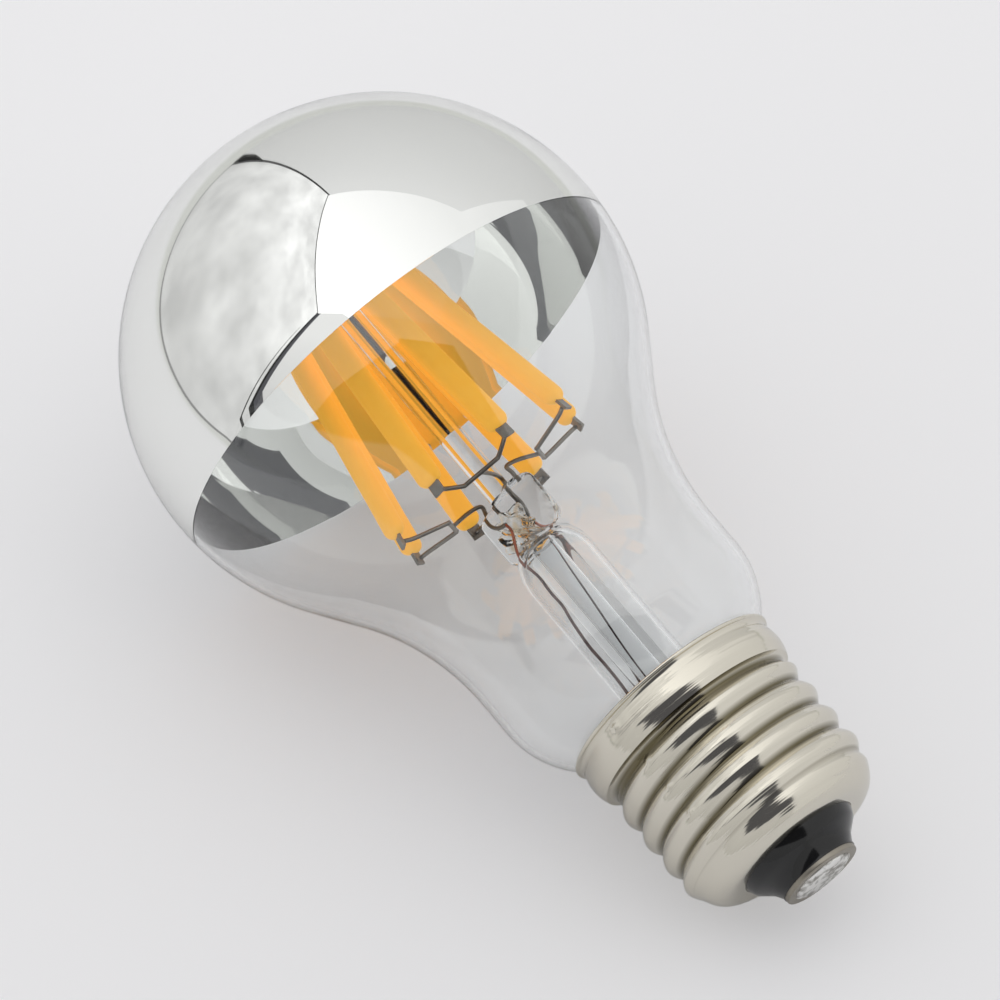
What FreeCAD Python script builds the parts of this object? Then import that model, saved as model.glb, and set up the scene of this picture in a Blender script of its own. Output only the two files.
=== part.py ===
import FreeCAD, Part
import Sketcher
import math
import os
import re

# A silver crown filament lamp, lying on a table as it comes to rest.
# Every piece is drawn about the lamp's own axis, with the face of the centre contact
# at height 0 and the crown at the top. One placement then lays the whole lamp down.

Vector = FreeCAD.Vector
Rotation = FreeCAD.Rotation
doc = FreeCAD.newDocument("crown_lamp")

SIZES = {
    # blown glass envelope
    "globe_radius": 30.6,
    "glass_wall": 0.8,
    "flank_angle": 33.0,
    "waist_radius": 17.0,
    "waist_blend": 31.6,
    "waist_length": 4.333,
    "shoulder_blend": 12.0,
    "seal_height": 23.6,
    "neck_length": 3.3,
    "cement_room": 0.85,
    # mirror coat on the inside of the crown
    "silver_edge_drop": 3.3,
    "coat_thickness": 0.1,
    "coat_gap": 0.05,
    # stem: flare, pinch, exhaust tube and centre rod
    "glass_gap": 0.02,
    "flare_radius": 4.7,
    "flare_wall": 0.8,
    "flare_curve": 6.0,
    "stem_length": 22.9,
    "pinch_taper": 5.0,
    "pinch_length": 6.9,
    "pinch_width": 10.2,
    "pinch_thickness": 3.8,
    "pinch_turn": 16.0,
    "pinch_rounding": 1.4,
    "exhaust_radius": 2.5,
    "exhaust_bore": 0.85,
    "exhaust_tip_drop": 4.6,
    "exhaust_tip_length": 2.5,
    "rod_radius": 1.55,
    "rod_bead_radius": 2.3,
    # light-emitting filaments
    "filament_turn": -2.4,
    "weld_rise": 1.5,
    "weld_ring_low": 13.2,
    "weld_ring_high": 6.2,
    "link_rise": 16.45,
    "coat_inset": 1.5,
    "coat_width": 3.0,
    "coat_depth": 2.3,
    "coat_rounding": 1.1,
    "strip_width": 1.5,
    "strip_thickness": 0.35,
    # nickel wires that carry the filaments
    "carrier_wire": 0.55,
    "anchor_wire": 0.45,
    "wire_gap": 0.02,
    "wire_bend": 0.7,
    "weld_gap": 0.25,
    "weld_lap": 0.6,
    "anchor_root": 1.0,
    "front_bar_reach": 9.6,
    "side_bar_reach": 6.6,
    "bar_half_length": 2.6,
    "post_depth": 5.0,
    "inner_post_offset": 1.9,
    "outer_post_offset": 4.0,
    # lead wires from the pinch down to the driver
    "lead_wire": 0.36,
    "lead_offset": 2.95,
    "lead_spread": 1.3,
    "lead_bow": 0.9,
    "lead_bend": 2.0,
    # screw shell, rolled from sheet
    "sheet": 0.3,
    "thread_radius": 13.05,
    "thread_depth": 0.95,
    "thread_pitch": 3.629,
    "thread_crest_rounding": 1.0,
    "thread_flank_angle": 40.0,
    "thread_start_height": 2.41,
    "thread_turns": 6.0,
    "thread_low": 6.3,
    "thread_high": 22.3,
    "thread_fade": 1.3,
    "skirt_rise": 0.3,
    "skirt_low": 23.0,
    "skirt_step": 1.0,
    "skirt_crown": 7.0,
    "rim_lift": 0.9,
    "rim_gap": 0.185,
    "rim_flare": 1.2,
    "toe_top": 7.9,
    "toe_blend": 3.2,
    "shell_mouth": 7.65,
    # black glass insulator
    "insulator_neck": 5.05,
    "insulator_neck_height": 1.3,
    "insulator_waist_height": 2.3,
    "insulator_waist": 5.65,
    "insulator_step_height": 3.6,
    "insulator_step": 7.1,
    "insulator_gap": 0.02,
    "insulator_hole": 0.9,
    # centre contact and its solder
    "contact_radius": 4.95,
    "contact_thickness": 0.6,
    "contact_edge": 0.2,
    "contact_hole": 0.6,
    "solder_radius": 3.9,
    "solder_face": 3.2,
    "solder_height": 0.35,
    # cement between the neck and the skirt
    "cement_lift": 0.2,
    # driver inside the cap
    "board_height": 14.2,
    "board_thickness": 1.0,
    "board_radius": 10.2,
    "capacitor_radius": 2.5,
    "capacitor_length": 5.4,
    "capacitor_reach": 6.0,
    "bridge_length": 4.7,
    "bridge_width": 3.8,
    "bridge_height": 2.4,
    "bridge_reach": 5.6,
    "chip_reach": 7.0,
    "chip_length": 4.9,
    "chip_width": 3.9,
    "chip_height": 1.5,
    "resistor_radius": 1.15,
    "resistor_length": 3.2,
    "centre_lead_wire": 0.6,
    "shell_lead_rise": 2.4,
    "shell_lead_reach": 9.2,
}

# Sizes that follow from the ones above: the lamp is stacked from the cap to the crown.
FOLLOWING = {
    "thread_root": "thread_radius - thread_depth",
    "skirt_radius": "thread_radius + skirt_rise",
    "mouth_radius": "skirt_radius - sheet - cement_room",
    "shoulder_centre": "waist_radius - shoulder_blend",
    "shoulder_height": (
        "seal_height + neck_length"
        " + sqrt(shoulder_blend ^ 2 - (mouth_radius - shoulder_centre) ^ 2)"
    ),
    "rim_height": "seal_height + neck_length + rim_lift",
    "glass_at_rim": (
        "shoulder_centre + sqrt(shoulder_blend ^ 2 - (shoulder_height - rim_height) ^ 2)"
    ),
    "rim_radius": "glass_at_rim + rim_gap + sheet",
    "skirt_high": "rim_height - rim_flare",
    "skirt_middle": "(skirt_low + skirt_high) / 2",
    "skirt_centre": (
        "skirt_radius - sqrt(skirt_crown ^ 2 - (skirt_high - skirt_middle) ^ 2)"
    ),
    "waist_height": "shoulder_height + waist_length",
    "waist_centre": "waist_radius + waist_blend",
    "flank_foot": "waist_centre - waist_blend * cos(flank_angle * 1 deg)",
    "flank_rise": (
        "(globe_radius * cos(flank_angle * 1 deg) - flank_foot) / tan(flank_angle * 1 deg)"
    ),
    "globe_height": (
        "waist_height + waist_blend * sin(flank_angle * 1 deg) + flank_rise"
        " + globe_radius * sin(flank_angle * 1 deg)"
    ),
    "silver_edge_height": "globe_height - silver_edge_drop",
    "exhaust_tip_height": "seal_height - exhaust_tip_drop",
    "pinch_root": "seal_height + stem_length",
    "pinch_bottom": "pinch_root + pinch_taper",
    "pinch_top": "pinch_bottom + pinch_length",
    "weld_height": "pinch_top + weld_rise",
    "link_height": "globe_height + link_rise",
    "filament_rise": "link_height + weld_lap - weld_height",
    "filament_length": "sqrt(filament_rise ^ 2 + (weld_ring_low - weld_ring_high) ^ 2)",
}

sheet = doc.addObject("Spreadsheet::Sheet", "Sizes")
cells = {word: str(number) for word, number in SIZES.items()}
cells.update({word: "=" + formula for word, formula in FOLLOWING.items()})
for row, (word, text) in enumerate(cells.items(), start=1):
    sheet.set(f"A{row}", word)
    sheet.setAlias(f"B{row}", word)
for row, (word, text) in enumerate(cells.items(), start=1):
    sheet.set(f"B{row}", text)
doc.recompute()

size_words = re.compile(r"\b(" + "|".join(cells) + r")\b")


def named(text):
    return size_words.sub(r"Sizes.\1", text)


def value(text):
    return float(sheet.evalExpression(named(text)))


# A closed outline. Each step is the corner where an edge starts, as (across, up); an arc
# adds its radius and its centre. In the upright plane "up" is the height along the lamp.
def outline(sketch, steps):
    corners = [Vector(value(step[0]), value(step[1]), 0) for step in steps]
    starts = []
    ends = []
    for number, step in enumerate(steps):
        first = corners[number]
        last = corners[(number + 1) % len(steps)]
        if len(step) == 2:
            sketch.addGeometry(Part.LineSegment(first, last))
            starts.append(1)
            ends.append(2)
            continue
        centre = Vector(value(step[3]), value(step[4]), 0)
        from_first = math.atan2(first.y - centre.y, first.x - centre.x)
        to_last = math.atan2(last.y - centre.y, last.x - centre.x)
        turn = (to_last - from_first + math.pi) % (2 * math.pi) - math.pi
        low, high = (from_first, to_last) if turn > 0 else (to_last, from_first)
        circle = Part.Circle(centre, Vector(0, 0, 1), value(step[2]))
        sketch.addGeometry(Part.ArcOfCircle(circle, low, high))
        starts.append(1 if turn > 0 else 2)
        ends.append(2 if turn > 0 else 1)
    for number in range(len(steps)):
        after = (number + 1) % len(steps)
        joint = Sketcher.Constraint("Coincident", number, ends[number], after, starts[after])
        sketch.addConstraint(joint)
    for number, step in enumerate(steps):
        for axis, kind, line in ((0, "DistanceX", -2), (1, "DistanceY", -1)):
            start = starts[number]
            if step[axis] == "0":
                on_line = Sketcher.Constraint("PointOnObject", number, start, line)
                sketch.addConstraint(on_line)
                continue
            reach = Sketcher.Constraint(kind, -1, 1, number, start, corners[number][axis])
            index = sketch.addConstraint(reach)
            sketch.setExpression(f"Constraints[{index}]", named(step[axis]))
        if len(step) > 2:
            radius = Sketcher.Constraint("Radius", number, value(step[2]))
            index = sketch.addConstraint(radius)
            sketch.setExpression(f"Constraints[{index}]", named(step[2]))


def drawn(body, name, role, steps):
    sketch = body.newObject("Sketcher::SketchObject", name)
    plane = next(item for item in body.Origin.OriginFeatures if item.Role == role)
    sketch.AttachmentSupport = (plane, [""])
    sketch.MapMode = "FlatFace"
    outline(sketch, steps)
    return sketch


def turned(name, steps):
    body = doc.addObject("PartDesign::Body", name)
    sketch = drawn(body, name + "_outline", "XZ_Plane", steps)
    turning = body.newObject("PartDesign::Revolution", name + "_turning")
    turning.Profile = sketch
    turning.ReferenceAxis = (sketch, ["V_Axis"])
    turning.Angle = 360
    return body


def cylinder(name, radius, height, place):
    piece = doc.addObject("Part::Cylinder", name)
    piece.setExpression("Radius", named(radius))
    piece.setExpression("Height", named(height))
    piece.Placement = place
    return piece


def box(name, length, width, height, place):
    piece = doc.addObject("Part::Box", name)
    piece.setExpression("Length", named(length))
    piece.setExpression("Width", named(width))
    piece.setExpression("Height", named(height))
    middle = Vector(-value(length) / 2, -value(width) / 2, 0)
    piece.Placement = place.multiply(FreeCAD.Placement(middle, Rotation()))
    return piece


def joined(name, kind, pieces):
    whole = doc.addObject(kind, name)
    whole.Shapes = pieces
    return whole


def without(name, base, tool):
    rest = doc.addObject("Part::Cut", name)
    rest.Base = base
    rest.Tool = tool
    return rest


def at(x, y, z, turn=0):
    return FreeCAD.Placement(Vector(x, y, z), Rotation(Vector(0, 0, 1), turn))


# A round wire through the given points, with its corners rounded by the bend radius.
def wire(name, points, diameter, bend):
    edges = []
    start = points[0]
    for before, corner, after in zip(points, points[1:], points[2:]):
        inward = (before - corner).normalize()
        onward = (after - corner).normalize()
        half = inward.getAngle(onward) / 2
        cut = bend / math.tan(half)
        entry = corner + inward * cut
        leave = corner + onward * cut
        middle = corner + (inward + onward).normalize() * (bend / math.sin(half) - bend)
        edges.append(Part.LineSegment(start, entry).toShape())
        edges.append(Part.Arc(entry, middle, leave).toShape())
        start = leave
    edges.append(Part.LineSegment(start, points[-1]).toShape())
    heading = points[1] - points[0]
    section = Part.Wire(Part.makeCircle(diameter / 2, points[0], heading))
    piece = doc.addObject("Part::Feature", name)
    piece.Shape = Part.Wire(edges).makePipeShell([section], True, True)
    return piece


pieces = {}

# GLASS ENVELOPE: blown in one piece, a ball that runs into a flank, a waist and a neck.
# The points of the wall, moved inward by the given thickness, from the crown downward.
def wall_points(inset):
    ball = f"(globe_radius - {inset})"
    blend = f"(waist_blend + {inset})"
    mouth = f"mouth_radius - {inset}"
    drop = f"(shoulder_blend - {inset}) ^ 2 - ({mouth} - shoulder_centre) ^ 2"
    return [
        ("0", f"globe_height + {ball}"),
        (
            f"{ball} * cos(flank_angle * 1 deg)",
            f"globe_height - {ball} * sin(flank_angle * 1 deg)",
        ),
        (
            f"waist_centre - {blend} * cos(flank_angle * 1 deg)",
            f"waist_height + {blend} * sin(flank_angle * 1 deg)",
        ),
        (f"waist_radius - {inset}", "waist_height"),
        (f"waist_radius - {inset}", "shoulder_height"),
        (mouth, f"shoulder_height - sqrt({drop})"),
        (mouth, "seal_height"),
    ]


outer = wall_points("0")
inner = wall_points("glass_wall")
ball_inside = "globe_radius - glass_wall"
envelope_steps = [
    outer[0] + ("globe_radius", "0", "globe_height"),
    outer[1],
    outer[2] + ("waist_blend", "waist_centre", "waist_height"),
    outer[3],
    outer[4] + ("shoulder_blend", "shoulder_centre", "shoulder_height"),
    outer[5],
    outer[6],
    inner[6],
    inner[5] + ("shoulder_blend - glass_wall", "shoulder_centre", "shoulder_height"),
    inner[4],
    inner[3] + ("waist_blend + glass_wall", "waist_centre", "waist_height"),
    inner[2],
    inner[1] + (ball_inside, "0", "globe_height"),
    inner[0],
]
pieces["glass_envelope"] = turned("glass_envelope", envelope_steps)

# CROWN MIRROR: the silver coat on the inside of the crown, with a level edge.
coat_outside = f"({ball_inside} - coat_gap)"
coat_inside = f"({ball_inside} - coat_gap - coat_thickness)"
edge_drop = "(globe_height - silver_edge_height) ^ 2"
edge_outside = f"sqrt({coat_outside} ^ 2 - {edge_drop})"
edge_inside = f"sqrt({coat_inside} ^ 2 - {edge_drop})"
mirror_steps = [
    ("0", f"globe_height + {coat_outside}", coat_outside, "0", "globe_height"),
    (edge_outside, "silver_edge_height"),
    (edge_inside, "silver_edge_height", coat_inside, "0", "globe_height"),
    ("0", f"globe_height + {coat_inside}"),
]
pieces["crown_mirror"] = turned("crown_mirror", mirror_steps)

# STEM FLARE: a glass tube, spread at its foot onto the neck and pressed flat at its head.
foot_radius = "mouth_radius - glass_wall - glass_gap"
tube_inside = "flare_radius - flare_wall"
foot_centre = "flare_radius + flare_curve"
foot_top = "seal_height + flare_curve"
flare_steps = [
    ("flare_radius", "pinch_root"),
    ("flare_radius", foot_top, "flare_curve", foot_centre, foot_top),
    (foot_centre, "seal_height"),
    (foot_radius, "seal_height"),
    (foot_radius, "seal_height - flare_wall"),
    (foot_centre, "seal_height - flare_wall", "flare_curve + flare_wall", foot_centre, foot_top),
    (tube_inside, foot_top),
    (tube_inside, "pinch_root - flare_wall"),
    ("0", "pinch_root - flare_wall"),
    ("0", "pinch_root"),
]
flare = turned("flare_glass", flare_steps)
blade_x = "pinch_width / 2"
blade_y = "pinch_thickness / 2"
corner_x = "(pinch_width / 2 - pinch_rounding)"
corner_y = "(pinch_thickness / 2 - pinch_rounding)"
blade_steps = [
    (blade_x, f"-{corner_y}"),
    (blade_x, corner_y, "pinch_rounding", corner_x, corner_y),
    (corner_x, blade_y),
    (f"-{corner_x}", blade_y, "pinch_rounding", f"-{corner_x}", corner_y),
    (f"-{blade_x}", corner_y),
    (f"-{blade_x}", f"-{corner_y}", "pinch_rounding", f"-{corner_x}", f"-{corner_y}"),
    (f"-{corner_x}", f"-{blade_y}"),
    (corner_x, f"-{blade_y}", "pinch_rounding", corner_x, f"-{corner_y}"),
]
ring_steps = []
for number in range(8):
    angle = 45 * number - 22.5
    across = f"flare_radius * cos({angle} * 1 deg)"
    up = f"flare_radius * sin({angle} * 1 deg)"
    ring_steps.append((across, up, "flare_radius", "0", "0"))
ring = drawn(flare, "pinch_ring", "XY_Plane", ring_steps)
ring.setExpression(".AttachmentOffset.Base.z", named("pinch_root"))
blade_foot = drawn(flare, "blade_foot", "XY_Plane", blade_steps)
blade_foot.setExpression(".AttachmentOffset.Base.z", named("pinch_bottom"))
pressing = flare.newObject("PartDesign::AdditiveLoft", "pressing")
pressing.Profile = ring
pressing.Sections = [blade_foot]
pressing.Ruled = True
blade_base = drawn(flare, "blade_base", "XY_Plane", blade_steps)
blade_base.setExpression(".AttachmentOffset.Base.z", named("pinch_bottom"))
blade = flare.newObject("PartDesign::Pad", "blade")
blade.Profile = blade_base
blade.setExpression("Length", named("pinch_top - pinch_bottom"))

post_foot = value("pinch_top - post_depth")
post_hole = "carrier_wire / 2 + wire_gap"
lead_hole = "lead_wire / 2 + wire_gap"
lead_depth = "pinch_top - post_depth - pinch_root + 2 * flare_wall"
post_offsets = ["inner_post_offset", "outer_post_offset", "-inner_post_offset", "-outer_post_offset"]
bores = []
for number, offset in enumerate(post_offsets):
    place = at(value(offset), 0, post_foot)
    bores.append(cylinder(f"post_bore_{number}", post_hole, "post_depth + 1", place))
for number, offset in enumerate(("-lead_offset", "lead_offset")):
    place = at(value(offset), 0, value("pinch_root - 2 * flare_wall"))
    bores.append(cylinder(f"lead_bore_{number}", lead_hole, lead_depth, place))
stem_bores = joined("stem_bores", "Part::MultiFuse", bores)
pieces["stem_flare"] = without("stem_flare", flare, stem_bores)

# EXHAUST TUBE: a thick glass tube inside the flare, melted shut at its lower tip.
exhaust_steps = [
    ("exhaust_bore", "pinch_root - flare_wall"),
    ("exhaust_bore", "exhaust_tip_height + exhaust_tip_length + 1.5"),
    ("0", "exhaust_tip_height + exhaust_tip_length"),
    ("0", "exhaust_tip_height", "exhaust_radius", "0", "exhaust_tip_height + exhaust_radius"),
    ("exhaust_radius", "exhaust_tip_height + exhaust_radius"),
    ("exhaust_radius", "pinch_root - flare_wall"),
]
pieces["exhaust_tube"] = turned("exhaust_tube", exhaust_steps)

# CENTRE ROD: solid glass on the pinch, with a bead at its head that grips the top wires.
bead_drop = "sqrt(rod_bead_radius ^ 2 - rod_radius ^ 2)"
rod_steps = [
    ("0", "pinch_top"),
    ("rod_radius", "pinch_top"),
    ("rod_radius", f"link_height - {bead_drop}", "rod_bead_radius", "0", "link_height"),
    ("0", "link_height + rod_bead_radius"),
]
rod = turned("rod_glass", rod_steps)
link_at = value("link_height")
link_turn = value("filament_turn") + 22.5
anchor_hole = "anchor_wire / 2 + wire_gap"
bores = []
for number in range(4):
    radial = Rotation(Vector(0, 0, 1), link_turn + 90 * number)
    sideways = radial.multiply(Rotation(Vector(0, 1, 0), 90))
    start = radial.multVec(Vector(value("anchor_root"), 0, 0)) + Vector(0, 0, link_at)
    place = FreeCAD.Placement(start, sideways)
    bores.append(cylinder(f"anchor_bore_{number}", anchor_hole, "rod_bead_radius", place))
pieces["centre_rod"] = without("centre_rod", rod, joined("rod_bores", "Part::MultiFuse", bores))

# FILAMENTS: eight leaning sticks, each a metal strip inside a rounded phosphor coat.
lean = math.degrees(math.asin(value("(weld_ring_low - weld_ring_high) / filament_length")))
strip_size = ["strip_thickness", "strip_width", "filament_length"]
coat_size = ["coat_depth", "coat_width", "filament_length - 2 * coat_inset"]
rounding = value("coat_rounding")
for number in range(8):
    turn = value("filament_turn") + 45 * number
    around = Rotation(Vector(0, 0, 1), turn)
    leaning = around.multiply(Rotation(Vector(0, 1, 0), -lean))
    foot = around.multVec(Vector(value("weld_ring_low"), 0, value("weld_height")))
    stick = FreeCAD.Placement(foot, leaning)
    strip = box(f"filament_strip_{number + 1}", *strip_size, stick)
    pieces[strip.Label] = strip
    block = box(f"coat_block_{number}", *coat_size, at(0, 0, value("coat_inset")))
    doc.recompute()
    rounded = doc.addObject("Part::Fillet", f"coat_rounded_{number}")
    rounded.Base = block
    rounded.Edges = [(index + 1, rounding, rounding) for index in range(len(block.Shape.Edges))]
    slot = box(f"coat_slot_{number}", *strip_size, at(0, 0, 0))
    coat = without(f"phosphor_coat_{number + 1}", rounded, slot)
    coat.Placement = stick
    pieces[coat.Label] = coat

# LOWER BRACKETS AND POSTS: one nickel wire joins the feet of two filaments, and a post
# from the pinch carries it.
bar_at = value("weld_height + weld_lap")
fall = value("weld_lap") * math.tan(math.radians(lean))
arm_reach = value("weld_ring_low - strip_thickness / 2 - weld_gap") - fall
arm_x = arm_reach * math.cos(math.radians(22.5))
arm_y = arm_reach * math.sin(math.radians(22.5))
half = value("bar_half_length")
thick = value("carrier_wire")
bend = value("wire_bend")
pinch_round = Rotation(Vector(0, 0, 1), value("pinch_turn"))
bar_reaches = ["front_bar_reach", "side_bar_reach", "side_bar_reach", "side_bar_reach"]
for number, (reach, offset) in enumerate(zip(bar_reaches, post_offsets)):
    turn = value("filament_turn") - 22.5 + 90 * number
    around = Rotation(Vector(0, 0, 1), turn)
    flat = [(arm_x, -arm_y), (value(reach), -half), (value(reach), half), (arm_x, arm_y)]
    points = [around.multVec(Vector(x, y, bar_at)) for x, y in flat]
    bracket = wire(f"lower_bracket_{number + 1}", points, thick, bend)
    pieces[bracket.Label] = bracket
    foot = pinch_round.multVec(Vector(value(offset), 0, post_foot))
    elbow = Vector(foot.x, foot.y, bar_at)
    head_reach = value(reach) - thick / 2 - value("wire_gap")
    head = around.multVec(Vector(head_reach, 0, bar_at))
    onward = (head - elbow).normalize()
    square = around.multVec(Vector(1, 0, 0))
    slant = thick / 2 * math.tan(onward.getAngle(square))
    post = wire(f"bracket_post_{number + 1}", [foot, elbow, head - onward * slant], thick, bend)
    pieces[post.Label] = post

# UPPER LINKS AND ANCHORS: a short wire joins the heads of two filaments, and a spoke
# from the glass bead holds it.
spoke = value("anchor_wire")
link_ring = value("weld_ring_high - strip_thickness / 2 - weld_gap - anchor_wire / 2")
link_x = link_ring * math.cos(math.radians(22.5))
link_y = link_ring * math.sin(math.radians(22.5))
for number in range(4):
    around = Rotation(Vector(0, 0, 1), link_turn + 90 * number)
    ends = [Vector(link_x, -link_y, link_at), Vector(link_x, link_y, link_at)]
    link = wire(f"upper_link_{number + 1}", [around.multVec(end) for end in ends], spoke, bend)
    pieces[link.Label] = link
    tip = link_x - spoke / 2 - value("wire_gap")
    ends = [Vector(value("anchor_root"), 0, link_at), Vector(tip, 0, link_at)]
    anchor = wire(f"top_anchor_{number + 1}", [around.multVec(end) for end in ends], spoke, bend)
    pieces[anchor.Label] = anchor

# LEAD WIRES: thin copper, from the pinch down beside the exhaust tube to the driver. Each
# bows to one side and back on its way down the flare, and spreads out below it.
board_top = value("board_height + board_thickness")
wide = value("lead_offset + lead_spread")
lead_points = [
    (value("lead_offset"), 0, post_foot),
    (value("lead_offset"), 0, value("pinch_root - 2 * flare_wall - lead_bend")),
    (value("lead_offset"), value("lead_bow"), value("pinch_root - stem_length / 3")),
    (value("lead_offset"), -value("lead_bow"), value("seal_height + stem_length / 4")),
    (wide, 0, value("exhaust_tip_height")),
    (wide, 0, board_top),
]
for number, turn in enumerate((0, 180)):
    half_turn = Rotation(Vector(0, 0, 1), turn)
    points = [half_turn.multVec(pinch_round.multVec(Vector(*point))) for point in lead_points]
    lead = wire(f"lead_wire_{number + 1}", points, value("lead_wire"), value("lead_bend"))
    pieces[lead.Label] = lead

# SCREW SHELL: thin nickel-plated sheet, rolled into a round-crested right-hand thread,
# with a plain skirt that flares at its rim and a toe that curls in to the insulator.
def shell_points(inset):
    toe = f"(toe_blend - {inset})"
    toe_centre = "thread_root - toe_blend"
    toe_foot = f"toe_top - toe_blend + {inset}"
    crown = f"(skirt_crown - {inset})"
    skirt = f"skirt_centre + sqrt({crown} ^ 2 - (skirt_high - skirt_middle) ^ 2)"
    return [
        ("0", toe_foot),
        (toe_centre, toe_foot, toe, toe_centre, "toe_top"),
        (f"thread_root - {inset}", "toe_top"),
        (f"thread_root - {inset}", "skirt_low - skirt_step"),
        (skirt, "skirt_low", crown, "skirt_centre", "skirt_middle"),
        (skirt, "skirt_high"),
        (f"rim_radius - {inset}", "rim_height"),
        ("0", "rim_height"),
    ]


def ridge_room(name, inset, margin):
    return turned(name, [
        ("0", f"thread_low + {margin}"),
        (f"thread_root - {inset} - 0.4", f"thread_low + {margin}"),
        ("thread_radius + 0.3", f"thread_low + thread_fade * 1.6 + {margin}"),
        ("thread_radius + 0.3", f"thread_high - thread_fade * 1.6 - {margin}"),
        (f"thread_root - {inset} - 0.4", f"thread_high - {margin}"),
        ("0", f"thread_high - {margin}"),
    ])


def threaded(name, inset):
    core = turned(name + "_core", shell_points(inset))
    helix = doc.addObject("Part::Helix", name + "_helix")
    helix.setExpression("Pitch", named("thread_pitch"))
    helix.setExpression("Height", named("thread_pitch * thread_turns"))
    helix.setExpression("Radius", named("thread_root"))
    helix.setExpression(".Placement.Base.z", named("thread_start_height"))
    crest = f"(thread_crest_rounding - {inset})"
    middle = "(thread_radius - thread_crest_rounding)"
    across = f"({middle} + {crest} * sin(thread_flank_angle * 1 deg))"
    rise = f"{crest} * cos(thread_flank_angle * 1 deg)"
    low = f"(thread_root - {inset} - 0.5)"
    spread = f"({rise} + ({across} - {low}) * tan(thread_flank_angle * 1 deg))"
    sketch = doc.addObject("Sketcher::SketchObject", name + "_profile")
    upright = Rotation(Vector(1, 0, 0), 90)
    sketch.Placement = FreeCAD.Placement(Vector(0, 0, 0), upright)
    start = "thread_start_height"
    outline(sketch, [
        (low, f"{start} - {spread}"),
        (across, f"{start} - {rise}", crest, middle, start),
        (across, f"{start} + {rise}"),
        (low, f"{start} + {spread}"),
    ])
    sweep = doc.addObject("Part::Sweep", name + "_ridge")
    sweep.Sections = [sketch]
    sweep.Spine = (helix, ["Edge1"])
    sweep.Solid = True
    sweep.Frenet = True
    room = ridge_room(name + "_room", inset, inset)
    kept = joined(name + "_thread", "Part::MultiCommon", [sweep, room])
    return joined(name, "Part::MultiFuse", [core, kept])


shell = without("shell_wall", threaded("shell_outside", "0"), threaded("shell_inside", "sheet"))
opening = cylinder("shell_opening", "shell_mouth", "toe_top", FreeCAD.Placement())
pieces["screw_shell"] = without("screw_shell", shell, opening)

# INSULATOR: black glass cast into the toe of the shell, with a hole for the centre lead.
seat = "insulator_gap"
insulator_steps = [
    ("insulator_hole", "solder_height + contact_thickness"),
    ("insulator_neck", "solder_height + contact_thickness"),
    ("insulator_neck", "insulator_neck_height"),
    ("insulator_waist", "insulator_waist_height"),
    ("insulator_step", "insulator_step_height"),
    (f"shell_mouth - {seat}", "toe_top - toe_blend"),
    (f"shell_mouth - {seat}", f"toe_top - toe_blend + sheet + {seat}"),
    (
        "thread_root - toe_blend",
        f"toe_top - toe_blend + sheet + {seat}",
        f"toe_blend - sheet - {seat}",
        "thread_root - toe_blend",
        "toe_top",
    ),
    (f"thread_root - sheet - {seat}", "toe_top"),
    ("insulator_hole", "toe_top"),
]
pieces["insulator"] = turned("insulator", insulator_steps)

# CENTRE CONTACT: a brass disc on the end of the insulator, closed by a cap of solder.
flat_end = "contact_radius - contact_edge"
edge_top = "solder_height + contact_edge"
contact_steps = [
    ("contact_hole", "solder_height"),
    (flat_end, "solder_height", "contact_edge", flat_end, edge_top),
    ("contact_radius", edge_top),
    ("contact_radius", "solder_height + contact_thickness"),
    ("contact_hole", "solder_height + contact_thickness"),
]
pieces["centre_contact"] = turned("centre_contact", contact_steps)
solder_steps = [
    ("0", "0"),
    ("solder_face", "0"),
    ("solder_radius", "solder_height"),
    ("0", "solder_height"),
]
pieces["contact_solder"] = turned("contact_solder", solder_steps)

# CAP CEMENT: a ring that bonds the glass neck into the skirt of the shell.
cement_steps = [
    ("mouth_radius + glass_gap", "seal_height + cement_lift"),
    ("skirt_radius - sheet - glass_gap", "seal_height + cement_lift"),
    ("skirt_radius - sheet - glass_gap", "skirt_high"),
    ("mouth_radius + glass_gap", "skirt_high"),
]
pieces["cap_cement"] = turned("cap_cement", cement_steps)

# DRIVER: a small round board across the cap, with its parts standing on it.
def on_board(reach, turn):
    far = value(reach)
    angle = math.radians(value("pinch_turn") + turn)
    return at(far * math.cos(angle), far * math.sin(angle), board_top, value("pinch_turn") + turn)


board_place = at(0, 0, value("board_height"))
pieces["driver_board"] = cylinder("driver_board", "board_radius", "board_thickness", board_place)
pieces["smoothing_capacitor"] = cylinder(
    "smoothing_capacitor", "capacitor_radius", "capacitor_length", on_board("capacitor_reach", 90)
)
pieces["bridge_rectifier"] = box(
    "bridge_rectifier", "bridge_width", "bridge_length", "bridge_height", on_board("bridge_reach", -90)
)
pieces["control_chip"] = box(
    "control_chip", "chip_width", "chip_length", "chip_height", on_board("chip_reach", 0)
)
pieces["fuse_resistor"] = cylinder(
    "fuse_resistor", "resistor_radius", "resistor_length", on_board("chip_reach", 180)
)
centre = [Vector(0, 0, value("solder_height")), Vector(0, 0, value("board_height"))]
pieces["centre_lead"] = wire("centre_lead", centre, value("centre_lead_wire"), bend)
angle = math.radians(value("pinch_turn") + 45)
lead_top = board_top + value("shell_lead_rise")
shell_reach = [
    (value("shell_lead_reach"), board_top),
    (value("shell_lead_reach"), lead_top),
    (value("thread_root - sheet - wire_gap"), lead_top),
]
points = [Vector(x * math.cos(angle), x * math.sin(angle), z) for x, z in shell_reach]
pieces["shell_lead"] = wire("shell_lead", points, value("centre_lead_wire"), bend)

doc.recompute()

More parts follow.
